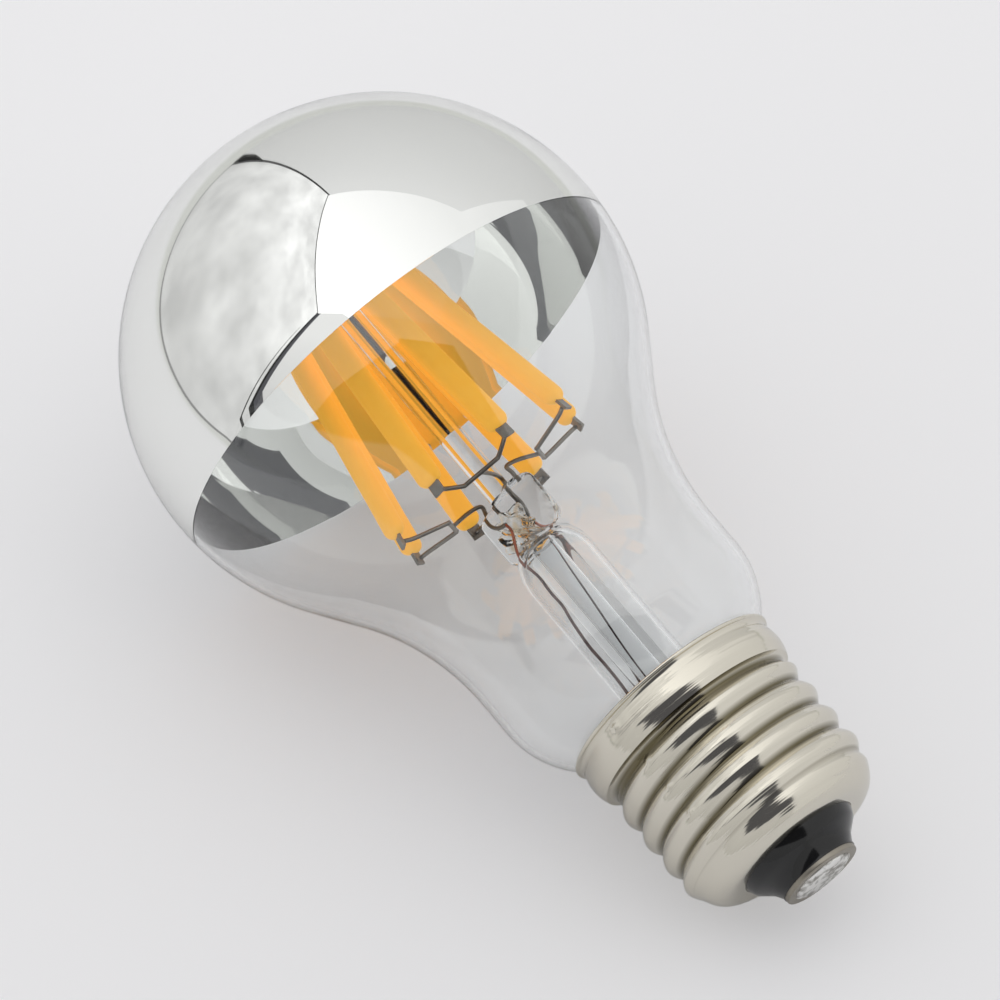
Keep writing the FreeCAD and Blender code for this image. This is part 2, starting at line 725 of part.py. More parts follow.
# LYING DOWN: the lamp rests on its ball and on the lowest crest of the thread. The whole
# lamp gets one placement, with the point under the middle of its outline at the origin.
crest = value("thread_start_height + 1.5 * thread_pitch")
along = value("globe_height") - crest
below = value("thread_radius - thread_crest_rounding")
rise = value("globe_radius - thread_crest_rounding")
tilt = math.asin(rise / math.hypot(along, below)) - math.atan2(below, along)
far_side = value("globe_height") * math.cos(tilt) + value("globe_radius")
tip_out = value(flat_end) * math.sin(tilt)
tip_side = tip_out - value(edge_top) * math.cos(tilt) + value("contact_edge")
ground = value("globe_radius") - value("globe_height") * math.sin(tilt)
lying = FreeCAD.Placement(
    Vector((far_side - tip_side) / 2, 0, ground),
    Rotation(Vector(0, 1, 0), math.degrees(tilt) - 90),
)
pieces["stem_flare"].Placement = FreeCAD.Placement(Vector(), pinch_round)
for piece in pieces.values():
    piece.Placement = lying.multiply(piece.Placement)
doc.recompute()

for item in doc.Objects:
    if "Invalid" in item.State or "Error" in item.State:
        raise SystemExit(f"{item.Name} did not build: {item.State}")
os.makedirs("parts", exist_ok=True)
for name, piece in pieces.items():
    if piece.Shape.isNull() or not piece.Shape.isValid():
        raise SystemExit(f"{name} has no sound shape")
    piece.Label = name
    piece.Shape.exportStep(f"parts/{name}.step")
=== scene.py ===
import math
import bpy
import bmesh
from mathutils import Matrix, Vector


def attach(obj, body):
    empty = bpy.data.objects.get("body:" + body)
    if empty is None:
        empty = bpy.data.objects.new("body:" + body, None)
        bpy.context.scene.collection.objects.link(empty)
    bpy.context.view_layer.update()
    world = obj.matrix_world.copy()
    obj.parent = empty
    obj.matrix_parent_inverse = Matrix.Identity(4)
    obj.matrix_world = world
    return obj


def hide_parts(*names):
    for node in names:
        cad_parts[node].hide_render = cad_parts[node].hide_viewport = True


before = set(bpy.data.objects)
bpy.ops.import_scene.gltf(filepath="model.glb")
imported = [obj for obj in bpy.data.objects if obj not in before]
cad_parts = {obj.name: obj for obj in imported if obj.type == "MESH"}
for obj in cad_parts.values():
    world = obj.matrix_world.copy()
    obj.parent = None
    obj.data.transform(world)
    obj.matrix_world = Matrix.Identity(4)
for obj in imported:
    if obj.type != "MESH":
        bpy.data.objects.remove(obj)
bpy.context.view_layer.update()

# GLASS ENVELOPE
# Clear soda-lime glass, blown in one piece: a ball, a flank, a waist and a neck that is
# sealed to the stem and cemented into the screw shell. The wall is about 0.8 mm.

# The lamp is drawn upright in millimetres, contact face at height 0, and laid down here.
laid_over = math.radians(90 - 14.346)
lying = (
    Matrix.Scale(0.001, 4)
    @ Matrix.Translation((53.7275, 0, 10.7283))
    @ Matrix.Rotation(-laid_over, 4, "Y")
)


# Points of an arc in the plane of the axis, as radius and height; angles in degrees.
def arc(middle_r, middle_z, radius, start, end, steps):
    angles = [math.radians(start + (end - start) * n / steps) for n in range(steps + 1)]
    return [(middle_r + radius * math.cos(a), middle_z + radius * math.sin(a)) for a in angles]


# A profile of radius and height, spun once round the lamp's axis.
def lathe(points, steps, closed=False):
    shape = bmesh.new()
    corners = [shape.verts.new((r, 0, z)) for r, z in points]
    pairs = list(zip(corners, corners[1:]))
    if closed:
        pairs.append((corners[-1], corners[0]))
    edges = [shape.edges.new(pair) for pair in pairs]
    bmesh.ops.spin(
        shape,
        geom=corners + edges,
        cent=(0, 0, 0),
        axis=(0, 0, 1),
        angle=2 * math.pi,
        steps=steps,
        use_merge=True,
    )
    bmesh.ops.remove_doubles(shape, verts=shape.verts, dist=0.0005)
    bmesh.ops.recalc_face_normals(shape, faces=shape.faces)
    return shape


# Lays an upright shape down and adds it to the scene as one piece.
def place(name, shape, material, replaced, crease=35):
    bmesh.ops.transform(shape, matrix=lying, verts=shape.verts)
    mesh = bpy.data.meshes.new(name)
    shape.to_mesh(mesh)
    shape.free()
    mesh.shade_smooth()
    mesh.set_sharp_from_angle(angle=math.radians(crease))
    mesh.materials.append(material)
    piece = bpy.data.objects.new(name, mesh)
    bpy.context.scene.collection.objects.link(piece)
    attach(piece, "root")
    if replaced:
        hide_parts(*replaced)


def colour(code):
    parts = [int(code[n : n + 2], 16) / 255 for n in (1, 3, 5)]
    linear = [p / 12.92 if p <= 0.04045 else ((p + 0.055) / 1.055) ** 2.4 for p in parts]
    return (*linear, 1)


def material(name):
    made = bpy.data.materials.new(name)
    made.use_nodes = True
    made.node_tree.nodes.clear()
    return made, made.node_tree


# One node with its settings and links; a number names a socket by its place.
def add(tree, kind, settings=None, links=None):
    made = tree.nodes.new(kind)
    for name, value in (settings or {}).items():
        if isinstance(name, int) or name in made.inputs:
            made.inputs[name].default_value = value
        else:
            setattr(made, name, value)
    for name, source in (links or {}).items():
        tree.links.new(source, made.inputs[name])
    return made


# Noise that stays on the piece; the scale is in waves a metre.
def noise(tree, scale, detail, vector=None):
    vector = vector or add(tree, "ShaderNodeTexCoord").outputs["Object"]
    settings = {"Scale": scale, "Detail": detail}
    return add(tree, "ShaderNodeTexNoise", settings, {"Vector": vector}).outputs["Fac"]


def bump(tree, height, strength, distance, links=None):
    settings = {"Strength": strength, "Distance": distance}
    made = add(tree, "ShaderNodeBump", settings, {"Height": height, **(links or {})})
    return made.outputs["Normal"]


def surface(tree, settings, links):
    made = add(tree, "ShaderNodeBsdfPrincipled", settings, links)
    add(tree, "ShaderNodeOutputMaterial", {}, {"Surface": made.outputs["BSDF"]})


# Blown soda-lime glass: clear, with a faint ripple a few centimetres long from the mould.
blown_glass, tree = material("blown soda-lime glass")
surface(
    tree,
    {"Base Color": colour("#FDFEFE"), "Roughness": 0.0, "IOR": 1.52, "Transmission Weight": 1.0},
    {"Normal": bump(tree, noise(tree, 45.0, 0.0), 0.05, 0.001)},
)

ball, ball_height, wall = 30.6, 80.2, 0.8
flank_angle, waist, blend = 33, 17.0, 31.6
shoulder_height, shoulder = 36.5, 12.0
neck, neck_end = 12.2, 23.6
flank = math.radians(flank_angle)
flank_top_r, flank_top_z = ball * math.cos(flank), ball_height - ball * math.sin(flank)
flank_low_r = waist + blend * (1 - math.cos(flank))
flank_low_z = flank_top_z - (flank_top_r - flank_low_r) / math.tan(flank)
waist_top = flank_low_z - blend * math.sin(flank)


def envelope_wall(inset):
    mouth = neck - inset
    turn = math.degrees(math.acos((mouth - waist + shoulder) / (shoulder - inset)))
    points = arc(0, ball_height, ball - inset, 90, -flank_angle, 56)
    points += arc(waist + blend, waist_top, blend + inset, 180 - flank_angle, 180, 14)
    points += arc(waist - shoulder, shoulder_height, shoulder - inset, 0, -turn, 14)
    points.append((mouth, neck_end))
    return points


envelope_points = envelope_wall(0) + envelope_wall(wall)[::-1]
envelope = lathe(envelope_points, steps=192)
place("blown_envelope", envelope, blown_glass, ["glass_envelope"])

# CROWN MIRROR
# Aluminium evaporated onto the inside of the crown, with a level edge just below the
# middle of the ball. Both of its faces are bright.


# Two tones, blended by a value that runs from low to high.
def two_tones(tree, value, dark, light, low=0.0, high=1.0):
    ramp = add(tree, "ShaderNodeValToRGB", {}, {"Fac": value})
    for element, position, code in zip(ramp.color_ramp.elements, (low, high), (dark, light)):
        element.position = position
        element.color = colour(code)
    return ramp.outputs["Color"]


# Evaporated aluminium: almost a perfect mirror, with the glass's own faint waves.
mirror_coat, tree = material("evaporated mirror coat")
haze = noise(tree, 60.0, 1.0)
tone = two_tones(tree, haze, "#F1F1EE", "#F6F6F4")
surface(
    tree,
    {"Metallic": 1.0, "Roughness": 0.01},
    {"Base Color": tone, "Normal": bump(tree, haze, 0.06, 0.001)},
)

edge_height = 76.9
coat_out, coat_in = ball - 0.35, ball - 0.45
low_out = math.degrees(math.asin((edge_height - ball_height) / coat_out))
low_in = math.degrees(math.asin((edge_height - ball_height) / coat_in))
coat_points = arc(0, ball_height, coat_out, 90, low_out, 60)
coat_points += arc(0, ball_height, coat_in, low_in, 90, 60)
mirror = lathe(coat_points, steps=192)
place("mirror_layer", mirror, mirror_coat, ["crown_mirror"])

# STEM
# The flare tube and its pressed pinch, the exhaust tube and the centre rod: clear glass,
# melted together on the stem machine.


# A CAD node's own solid, with its loose triangles merged so that it shades smoothly.
def smooth_copy(node, material, crease=35):
    shape = bmesh.new()
    shape.from_mesh(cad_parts[node].data)
    bmesh.ops.remove_doubles(shape, verts=shape.verts, dist=0.000001)
    bmesh.ops.transform(shape, matrix=lying.inverted(), verts=shape.verts)
    bmesh.ops.recalc_face_normals(shape, faces=shape.faces)
    place(node + "_smooth", shape, material, [node], crease)


# Rounds every edge of a box.
def round_edges(shape, offset, segments):
    bmesh.ops.bevel(
        shape,
        geom=shape.edges[:],
        offset=offset,
        segments=segments,
        profile=0.5,
        affect="EDGES",
        material=-1,
    )
    bmesh.ops.recalc_face_normals(shape, faces=shape.faces)


# Stem glass: clear, with a barely seen tint. The rod is solid.
stem_glass, tree = material("drawn stem glass")
tone = two_tones(tree, noise(tree, 60.0, 0.0), "#FBFDFD", "#FEFEFE")
surface(
    tree,
    {"Roughness": 0.0, "IOR": 1.42, "Transmission Weight": 1.0},
    {"Base Color": tone},
)

# The same glass in the tubes, which are thin, so they bend the view only a little.
thin_glass, tree = material("thin tube glass")
tone = two_tones(tree, noise(tree, 60.0, 0.0), "#FDFEFE", "#FFFFFF")
surface(
    tree,
    {"Roughness": 0.0, "IOR": 1.13, "Transmission Weight": 1.0},
    {"Base Color": tone},
)

tube, tube_wall, foot_curve = 4.7, 0.7, 6.0
foot_centre, foot_top = tube + foot_curve, 29.6
foot_rim = [(11.38, 22.9), (11.38, 23.6)]
closed_end = [(tube, 47.5), (4.5, 49.0), (3.9, 50.6), (2.6, 52.0), (0, 52.6)]
closed_inside = [(0, 51.4), (2.0, 51.0), (3.2, 50.0), (3.8, 48.6), (tube - tube_wall, 47.2)]
flare_points = foot_rim + arc(foot_centre, foot_top, foot_curve, -90, -180, 14)
flare_points += closed_end + closed_inside
flare_points += arc(foot_centre, foot_top, foot_curve + tube_wall, -180, -90, 14)
flare = lathe(flare_points, closed=True, steps=96)
place("flare_tube", flare, thin_glass, ["stem_flare"], 60)

pinch_turn = Matrix.Rotation(math.radians(16), 4, "Z")
blade_middle, blade_size = (0, 0, 54.9), (10.2, 3.8, 7.0)
blade = bmesh.new()
blade_at = pinch_turn @ Matrix.Translation(blade_middle) @ Matrix.Diagonal((*blade_size, 1))
bmesh.ops.create_cube(blade, size=1, matrix=blade_at)
round_edges(blade, 1.2, 4)
place("pressed_blade", blade, thin_glass, [], 60)

# The seal: where the wires were pinched in, the glass is lumpy and full of small glints.
seal_glass_with_painted_glints, tree = material("seal glass, oxide and painted glints")
# Amber patches: partly the wires' oxide seen through the glass, partly painted glints of the amber
# filaments.
tone = two_tones(tree, noise(tree, 420.0, 1.0), "#DFC49A", "#FBFDFC", 0.36, 0.47)
surface(
    tree,
    {"Roughness": 0.0, "IOR": 1.4, "Transmission Weight": 1.0},
    {"Base Color": tone},
)
seal_middle, seal_size, seal_tilt = (-0.6, -0.8, 53.9), (4.0, 1.35, 3.4), math.radians(12)
seal = bmesh.new()
bmesh.ops.create_icosphere(seal, subdivisions=5, radius=1.0)
for vert in seal.verts:
    x, y, z = vert.co
    long_wave = math.sin(6.1 * x + 2.0 * z) * math.cos(5.3 * z - 1.5 * y)
    short_wave = 0.7 * math.sin(11.0 * z + 8.0 * x)
    vert.co *= 0.84 + 0.17 * (long_wave + short_wave)
around = pinch_turn @ Matrix.Rotation(seal_tilt, 4, "Y")
seal_at = Matrix.Translation(seal_middle) @ around @ Matrix.Diagonal((*seal_size, 1))
bmesh.ops.transform(seal, matrix=seal_at, verts=seal.verts)
place("pinched_seal", seal, seal_glass_with_painted_glints, [], 180)

tip_height, pinch_root, exhaust, bore = 19.0, 51.0, 2.5, 1.3
tube_points = [(bore, pinch_root), (bore, 23.0), (0, 21.5)]
tube_points += arc(0, tip_height + exhaust, exhaust, -90, 0, 10) + [(exhaust, pinch_root)]
drawn_exhaust = lathe(tube_points, closed=True, steps=64)
place("drawn_exhaust", drawn_exhaust, thin_glass, ["exhaust_tube"])

rod, bead, rod_foot, link_height = 1.55, 2.3, 58.42, 96.65
rod_points = [(0, rod_foot), (rod, rod_foot)]
rod_points += arc(0, link_height, bead, -math.degrees(math.acos(rod / bead)), 90, 14)
place("drawn_rod", lathe(rod_points, steps=64), stem_glass, ["centre_rod"])

# FILAMENTS
# Eight sticks: small chips on a thin metal strip, under a rounded coat of amber phosphor
# in silicone. The bare ends of the strip are welded to the wires.

# Phosphor powder in silicone: matt amber. Its emission is a painted glow that lifts the coat's
# amber, though the lamp is not lit.
phosphor, tree = material("amber phosphor in silicone with painted glow")
tone = two_tones(tree, noise(tree, 500.0, 3.0), "#FDAE26", "#FFBE48")
surface(
    tree,
    {
        "Roughness": 0.5,
        "IOR": 1.41,
        # Painted glow: the coat gives off light though the lamp is off.
        "Emission Color": colour("#FFBF45"),
        "Emission Strength": 0.5,
    },
    {"Base Color": tone},
)

# Nickel wire and strip: drawn bright, dulled by the heat of the sealing fires.
dull_nickel, tree = material("drawn nickel wire")
tone = two_tones(tree, noise(tree, 700.0, 2.0), "#6E6962", "#8F8A82")
surface(tree, {"Metallic": 1.0, "Roughness": 0.3}, {"Base Color": tone})

# The sticks lean inward from the ring of their feet to the ring of their heads.
foot_ring, head_ring, foot_height, stick_rise = 13.2, 6.2, 59.9, 37.35
lean = math.atan2(foot_ring - head_ring, stick_rise)
stick_length = math.hypot(foot_ring - head_ring, stick_rise)
stick_thick, stick_wide, stick_round, bare_end = 2.3, 3.0, 1.1, 1.5
sticks, first_stick = 8, -2.4
for number in range(sticks):
    stick = (
        Matrix.Rotation(math.radians(360 / sticks * number + first_stick), 4, "Z")
        @ Matrix.Translation((foot_ring, 0, foot_height))
        @ Matrix.Rotation(-lean, 4, "Y")
        @ Matrix.Translation((0, 0, stick_length / 2))
        @ Matrix.Diagonal((stick_thick, stick_wide, stick_length - 2 * bare_end, 1))
    )
    coat = bmesh.new()
    bmesh.ops.create_cube(coat, size=1, matrix=stick)
    round_edges(coat, stick_round, 5)
    coat_node = f"phosphor_coat_{number + 1}"
    place(f"coated_stick_{number + 1}", coat, phosphor, [coat_node], 80)
    smooth_copy(f"filament_strip_{number + 1}", dull_nickel)

# WIRE CAGE
# Nickel wire, bent by hand tools: a bracket joins the feet of two filaments, a post from the
# pinch carries it, and short links and spokes hold the heads.


# A round wire through the given points, with soft bends between them.
def drawn_wire(points, radius, steps=6, sides=12):
    knots = [Vector(point) for point in points]
    knots = [knots[0] * 2 - knots[1]] + knots + [knots[-1] * 2 - knots[-2]]
    path = []
    for a, b, c, d in zip(knots, knots[1:], knots[2:], knots[3:]):
        for step in range(steps):
            t = step / steps
            straight = b * 2 + (c - a) * t
            bend = (a * 2 - b * 5 + c * 4 - d) * t**2 + (b * 3 - a - c * 3 + d) * t**3
            path.append((straight + bend) / 2)
    path.append(knots[-2])
    shape = bmesh.new()
    side = Vector((1, 0, 0))
    angles = [2 * math.pi * n / sides for n in range(sides)]
    rings = []
    for number, point in enumerate(path):
        ahead = path[min(number + 1, len(path) - 1)] - path[max(number - 1, 0)]
        ahead.normalize()
        side = (side - ahead * side.dot(ahead)).normalized()
        other = ahead.cross(side)
        spokes = [side * math.cos(a) + other * math.sin(a) for a in angles]
        rings.append([shape.verts.new(point + spoke * radius) for spoke in spokes])
    for ring, after in zip(rings, rings[1:]):
        for n in range(sides):
            shape.faces.new((ring[n], ring[n - 1], after[n - 1], after[n]))
    shape.faces.new(rings[0])
    shape.faces.new(rings[-1][::-1])
    bmesh.ops.recalc_face_normals(shape, faces=shape.faces)
    return shape


bracket_wire, post_wire = 0.27, 0.26
weld_ring, weld_side, weld_height = 11.7, 4.85, 60.5
bar_half, bar_height, first_bracket = 2.6, 59.5, -24.9
# For each bracket: how far out its bar runs, and the post's way down into the pinch.
brackets = [
    (9.6, [(1.83, 0.52, 60), (1.85, 0.55, 59), (1.3, 0.9, 57.6), (0.2, 1.6, 56.2), (-1, 2, 55)]),
    (6.6, [(3.84, 1.1, 60), (3.9, 1.1, 59), (3.6, 1.2, 57.6)]),
    (6.6, [(-1.83, -0.52, 60), (-1.85, -0.5, 58.8), (-1.5, -0.6, 57.2)]),
    (
        6.6,
        [
            (-3.84, -1.1, 60),
            (-3.8, -1.3, 58.8),
            (-3.1, -1.9, 57.2),
            (-1.4, -2.3, 55.9),
            (0.4, -2.1, 55.2),
        ],
    ),
]
for number, (bar, post) in enumerate(brackets):
    around = Matrix.Rotation(math.radians(90 * number + first_bracket), 3, "Z")
    half = [
        (weld_ring, weld_side, weld_height),
        (weld_ring - 1.2, weld_side - 0.9, weld_height - 0.3),
        (bar + 0.3, bar_half, bar_height),
        (bar, bar_half - 0.6, bar_height),
    ]
    both_halves = [(x, -y, z) for x, y, z in half] + half[::-1]
    bracket = drawn_wire([around @ Vector(point) for point in both_halves], bracket_wire)
    bracket_node = f"lower_bracket_{number + 1}"
    bracket_name = f"bent_bracket_{number + 1}"
    place(bracket_name, bracket, dull_nickel, [bracket_node], 60)
    head = around @ Vector((bar - 0.2, 0, bar_height))
    nearly = head.lerp(Vector(post[0]), 0.6) + Vector((0, 0, 0.25))
    post_node = f"bracket_post_{number + 1}"
    bent_post = drawn_wire([head, nearly] + post, post_wire)
    place(f"bent_post_{number + 1}", bent_post, dull_nickel, [post_node], 60)
    for word in ("upper_link", "top_anchor"):
        smooth_copy(f"{word}_{number + 1}", dull_nickel)

# LEAD WIRES
# Thin wire from the pinch down to the driver: red copper where the glass grips it, dark
# and wavy below. The short leads of the driver are of the same wire.


# A point's place in the lamp's own upright axes, in metres.
def own_axes(tree):
    place_in = add(tree, "ShaderNodeTexCoord")
    origin = lying.inverted().translation * 0.001
    turned = {"vector_type": "POINT", "Rotation": (0, laid_over, 0), "Location": origin}
    made = add(tree, "ShaderNodeMapping", turned, {"Vector": place_in.outputs["Object"]})
    return made.outputs["Vector"]


# From low to high while the value goes from start to end, and level beyond them.
def between(tree, value, start, end, low=0.0, high=1.0):
    limits = {"From Min": start, "From Max": end, "To Min": low, "To Max": high}
    return add(tree, "ShaderNodeMapRange", limits, {"Value": value}).outputs["Result"]


# Copper wire: clean and red in the pinch, at 52 mm, oxidised dark from 48 mm down.
oxidised_copper, tree = material("oxidised copper wire")
split = add(tree, "ShaderNodeSeparateXYZ", {}, {"Vector": own_axes(tree)})
gripped = between(tree, split.outputs["Z"], 0.048, 0.052)
tone = two_tones(tree, gripped, "#5C4A48", "#A8654E")
surface(tree, {"Metallic": 1.0, "Roughness": 0.35}, {"Base Color": tone})

# For each lead: the CAD node it stands for, its radius and its way down.
leads = {
    "front_lead": ("lead_wire_2", 0.17, [
        (0.4, -2.1, 55.2), (0.6, -2.2, 54.0), (0.1, -3.2, 51.5), (0.12, -3.3, 49.9),
        (0.23, -3.05, 47.7), (0.2, -3.15, 45.4), (0.2, -3.1, 43.4), (0.1, -3.3, 41.9),
        (0.0, -3.5, 40.1), (-0.1, -3.65, 37.6), (-0.1, -3.6, 35.0), (-0.2, -3.65, 31.4),
        (-0.3, -4.2, 24.0), (-0.3, -4.2, 15.2),
    ]),
    "back_lead": ("lead_wire_1", 0.15, [
        (-1.0, 2.0, 55.0), (-1.5, 2.4, 52.8), (-1.8, 2.4, 50.4), (-2.2, 2.0, 47.5),
        (-2.5, 1.4, 42.4), (-2.9, 0.6, 36.0), (-3.05, 0.2, 31.0), (-3.6, 0.0, 24.0),
        (-3.8, 0.0, 15.2),
    ]),
}
for name, (node, radius, points) in leads.items():
    place(name, drawn_wire(points, radius), oxidised_copper, [node], 60)
for node in ("centre_lead", "shell_lead"):
    smooth_copy(node, oxidised_copper)

# SCREW SHELL
# Thin brass sheet, nickel plated and rolled into a round right-hand thread. A plain skirt
# holds the glass, and the toe curls in to the insulator.

# Nickel plate: light on the crests, the toe and the skirt; the thread's roots are painted dark, as
# painted shade.
nickel_plate, tree = material("bright nickel plate")
upright = own_axes(tree)
level = add(
    tree, "ShaderNodeVectorMath", {"operation": "MULTIPLY", 1: (1, 1, 0)}, {0: upright}
)
reach = add(tree, "ShaderNodeVectorMath", {"operation": "LENGTH"}, {0: level.outputs["Vector"]})
split = add(tree, "ShaderNodeSeparateXYZ", {}, {"Vector": upright})
raised = between(tree, reach.outputs["Value"], 0.0121, 0.01255)
toe = between(tree, split.outputs["Z"], 0.0095, 0.0078)
bright = add(tree, "ShaderNodeMath", {"operation": "MAXIMUM"}, {0: raised, 1: toe})
# Painted shade: the dark tone darkens the thread's roots, where the crests shade them.
tone = two_tones(tree, bright.outputs["Value"], "#665E46", "#DDD8CB")
# Roller marks run round the shell: fine along its axis, long around it.
long_round = {"vector_type": "POINT", "Scale": (0.015, 0.015, 1.0)}
stretch = add(tree, "ShaderNodeMapping", long_round, {"Vector": upright})
marks = bump(tree, noise(tree, 1300.0, 2.0, stretch.outputs["Vector"]), 0.5, 0.00032)
dents = bump(tree, noise(tree, 110.0, 1.0), 0.35, 0.0007, {"Normal": marks})
surface(
    tree,
    {"Metallic": 1.0, "Roughness": 0.12},
    {"Base Color": tone, "Normal": dents},
)

root, crest_height, pitch = 12.1, 0.95, 3.629
first_crest, crest_round = 2.41, 0.65
thread_low, low_run, thread_high, high_run = 6.3, 3.0, 22.4, 1.6
sheet, toe_mouth, toe_curve, toe_height = 0.3, 7.65, 3.2, 7.9
rows, rows_start, rows_length = 130, 8.0, 14.2
skirt, skirt_middle, skirt_crown = 13.62, 24.8, 4.6
inside = root - sheet
shell_points = [(toe_mouth, toe_height - toe_curve)]
shell_points += arc(root - toe_curve, toe_height, toe_curve, -90, 0, 12)
shell_points += [(root, rows_start + rows_length * n / rows) for n in range(rows + 1)]
shell_points += [(12.3, 22.5), (12.6, 22.75)]
shell_points += arc(skirt - skirt_crown, skirt_middle, skirt_crown, -26, 23, 16)
# The rolled rim, and back down on the inside of the sheet.
shell_points += [(13.3, 26.9), (13.36, 27.1), (13.5, 27.25)] + arc(13.6, 27.5, 0.22, -70, 90, 8)
shell_points += [(13.45, 27.7), (13.1, 27.0), (13.1, skirt_middle), (12.6, 23.0)]
shell_points += [(inside, 22.3), (inside, rows_start)]
shell_points += arc(root - toe_curve, toe_height, toe_curve - sheet, 0, -90, 8)
shell_points += [(toe_mouth, toe_height - toe_curve + sheet)]
shell = lathe(shell_points, closed=True, steps=256)


# A soft step: 0 below 0, 1 above 1.
def eased(share):
    share = min(1, max(0, share))
    return share * share * (3 - 2 * share)


# The outer face is lifted into the thread, and a row of small punched nubs runs down it.
nub_turn, nub_radius, nub_lift, nub_spread = math.radians(-56), 13, 0.22, 0.16
nub_heights = (26.1, 21.1, 17.2, 13.3)
rim_start, inner_face = 27, root - 0.25
for vert in shell.verts:
    radius = math.hypot(vert.co.x, vert.co.y)
    if radius < inner_face or vert.co.z > rim_start:
        continue
    turn = math.atan2(vert.co.y, vert.co.x)
    phase = (vert.co.z - first_crest) / pitch - turn / (2 * math.pi)
    fade = eased((vert.co.z - thread_low) / low_run) * eased((thread_high - vert.co.z) / high_run)
    lift = crest_height * (0.5 + 0.5 * math.cos(2 * math.pi * phase)) ** crest_round * fade
    for nub_height in nub_heights:
        away = (vert.co.z - nub_height) ** 2 + (nub_radius * (turn - nub_turn)) ** 2
        lift += nub_lift * math.exp(-away / nub_spread)
    vert.co.x *= (radius + lift) / radius
    vert.co.y *= (radius + lift) / radius
bmesh.ops.recalc_face_normals(shell, faces=shell.faces)
place("rolled_shell", shell, nickel_plate, ["screw_shell"], 60)

# INSULATOR
# Black glass, poured into the toe of the shell and pressed to a stepped cone. It holds the
# centre contact away from the shell.

# Poured glass: black all through, and glossy where it met the mould.
black_glass, tree = material("poured black glass")
tone = two_tones(tree, noise(tree, 400.0, 2.0), "#0C0C0C", "#171717")
surface(tree, {"Roughness": 0.12, "IOR": 1.52}, {"Base Color": tone})
smooth_copy("insulator", black_glass)

# CENTRE CONTACT
# A tinned brass disc on the end of the insulator, with a flat cap of solder on it. The
# centre lead runs to it through the insulator.

# Solder: white metal that froze in small grains.
tin_solder, tree = material("tin solder")
grain = noise(tree, 900.0, 3.0)
tone = two_tones(tree, grain, "#9C9993", "#F2F1EE", 0.35, 0.55)
surface(
    tree,
    {"Metallic": 1.0, "Roughness": 0.4},
    {"Base Color": tone, "Normal": bump(tree, grain, 0.3, 0.0002)},
)

# Tinned brass: grey, with no shine left.
dull_brass, tree = material("tinned brass, dull")
tone = two_tones(tree, noise(tree, 500.0, 2.0), "#8A8478", "#A8A298")
surface(tree, {"Metallic": 1.0, "Roughness": 0.35}, {"Base Color": tone})
smooth_copy("centre_contact", dull_brass)
smooth_copy("contact_solder", tin_solder)

# CEMENT AND DRIVER
# Inside the cap, where no view shows them: basing cement round the neck, and the driver
# board with its parts. Each is of one even material.
inside_parts = {
    "cap_cement": ("basing cement", "cement", "#C8BDA8", "#D8CFBE"),
    "driver_board": ("lacquered board", "board_green", "#1B5A30", "#226A3A"),
    "smoothing_capacitor": ("sleeved can", "capacitor_can", "#3A3A40", "#46464C"),
    "bridge_rectifier": ("moulded epoxy", "chip_black", "#141414", "#1E1E1E"),
    "control_chip": ("moulded epoxy", "chip_black", "#141414", "#1E1E1E"),
    "fuse_resistor": ("lacquered ceramic", "resistor_body", "#4D7A8E", "#5A889C"),
}
for node, (word, slot, dark, light) in inside_parts.items():
    made, tree = material(f"{word} of {node}")
    tone = two_tones(tree, noise(tree, 600.0, 2.0), dark, light)
    surface(tree, {"Roughness": 0.5}, {"Base Color": tone})
    smooth_copy(node, made)

# FLOOR
# White card under the lamp, which keeps the lamp's soft shadow. Away from the lamp it has
# one even tone, as in the photo.
even_from, even_to = 0.12, 0.19
grey_from, grey_to = 0.19, 0.22
shine_through = 0.38

white_card, tree = material("white card")
place_in = add(tree, "ShaderNodeTexCoord")
spot = add(
    tree, "ShaderNodeVectorMath", {"operation": "LENGTH"}, {"Vector": place_in.outputs["Object"]}
)
# Far out, where only the mirror sees it, the card is greyer.
outer = between(tree, spot.outputs["Value"], grey_from, grey_to)
tone = two_tones(tree, outer, "#F7F7F9", "#DADCD6")
near = add(tree, "ShaderNodeBsdfDiffuse", {}, {"Color": tone})
glow = add(tree, "ShaderNodeEmission", {"Color": colour("#F3F2F3"), "Strength": 1.0})
far = add(tree, "ShaderNodeEmission", {"Color": colour("#E4E4E6"), "Strength": 1.0})
light_path = add(tree, "ShaderNodeLightPath")
camera_ray = light_path.outputs["Is Camera Ray"]
seen = add(
    tree,
    "ShaderNodeMath",
    {"operation": "MAXIMUM"},
    {0: camera_ray, 1: light_path.outputs["Is Transmission Ray"]},
)
share = add(
    tree, "ShaderNodeMath", {"operation": "MULTIPLY", 1: shine_through}, {0: seen.outputs["Value"]}
)
lifted = add(
    tree,
    "ShaderNodeMixShader",
    {},
    {"Fac": share.outputs["Value"], 1: near.outputs["BSDF"], 2: glow.outputs["Emission"]},
)
away = between(tree, spot.outputs["Value"], even_from, even_to)
even = add(tree, "ShaderNodeMath", {"operation": "MULTIPLY"}, {0: away, 1: camera_ray})
mixed = add(
    tree,
    "ShaderNodeMixShader",
    {},
    {"Fac": even.outputs["Value"], 1: lifted.outputs["Shader"], 2: far.outputs["Emission"]},
)
add(tree, "ShaderNodeOutputMaterial", {}, {"Surface": mixed.outputs["Shader"]})
card = bmesh.new()
bmesh.ops.create_grid(card, x_segments=1, y_segments=1, size=2.0)
mesh = bpy.data.meshes.new("floor_card")
card.to_mesh(mesh)
card.free()
mesh.materials.append(white_card)
floor = bpy.data.objects.new("floor_card", mesh)
bpy.context.scene.collection.objects.link(floor)

# LIGHT TENT
# A small white cloth tent round the lamp, lit from outside, open at the front where the
# camera looks in. Its walls glow softly and its seams are dark.


